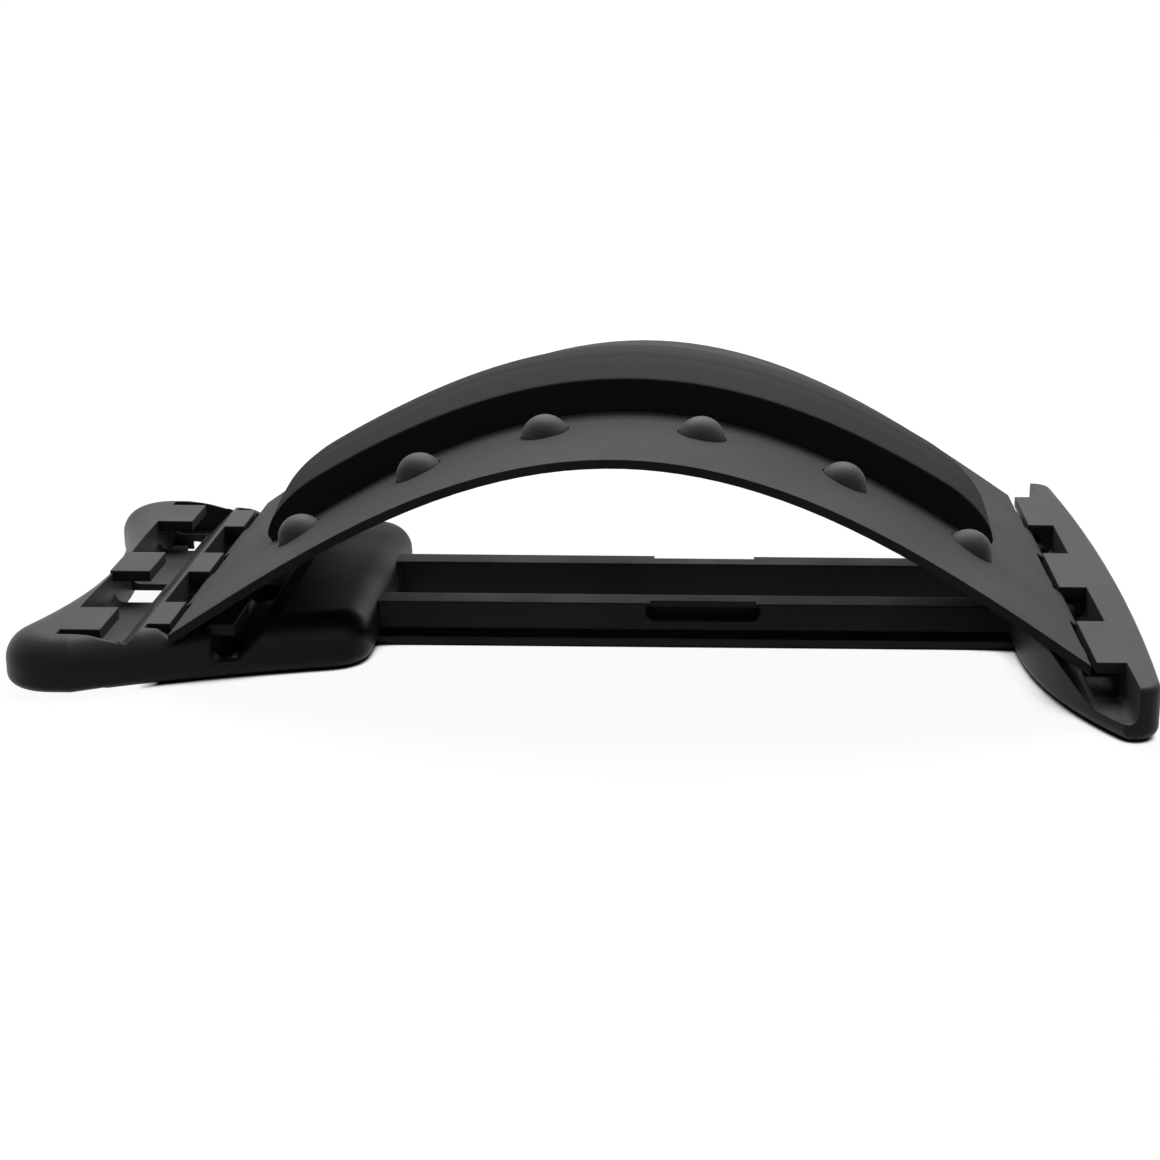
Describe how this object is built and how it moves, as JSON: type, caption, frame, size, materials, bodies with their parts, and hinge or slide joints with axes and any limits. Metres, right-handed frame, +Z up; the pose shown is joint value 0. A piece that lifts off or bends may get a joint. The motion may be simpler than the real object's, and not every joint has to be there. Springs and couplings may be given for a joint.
{
  "type": "arched back stretcher",
  "caption": "Sprung arch plate with a foam spine strip and massage nubs, hooked on a low moulded base with grooves for several heights.",
  "frame": {"origin": "on the floor, under the middle of the overall box", "axes": "+X from the narrow wing to the wide wing, +Y across the back, +Z up"},
  "size_m": [0.3882, 0.259, 0.0995],
  "materials": {
    "base_plastic": "satin black moulding",
    "plate_plastic": "fine matt grain, black",
    "foam": "matt closed-cell foam, black",
    "nub_rubber": "soft matt black",
    "pad_rubber": "matt dark grey"
  },
  "bodies": {
    "base": {"base_frame": "base_plastic", "foot_pad_1": "pad_rubber", "foot_pad_2": "pad_rubber", "foot_pad_3": "pad_rubber", "foot_pad_4": "pad_rubber", "foot_pad_5": "pad_rubber", "foot_pad_6": "pad_rubber"},
    "arch": {"arch_plate": "plate_plastic", "foam_strip": "foam", "nub_near_1": "nub_rubber", "nub_near_2": "nub_rubber", "nub_near_3": "nub_rubber", "nub_near_4": "nub_rubber", "nub_near_5": "nub_rubber", "nub_near_6": "nub_rubber", "nub_far_1": "nub_rubber", "nub_far_2": "nub_rubber", "nub_far_3": "nub_rubber", "nub_far_4": "nub_rubber", "nub_far_5": "nub_rubber", "nub_far_6": "nub_rubber"}
  },
  "joints": [
    {"name": "arch_swing", "type": "hinge", "parent": "base", "child": "arch", "pos_m": [0.1741, 0, 0.0161], "axis": [0, 1, 0], "range_deg": [0, 60]}
  ]
}
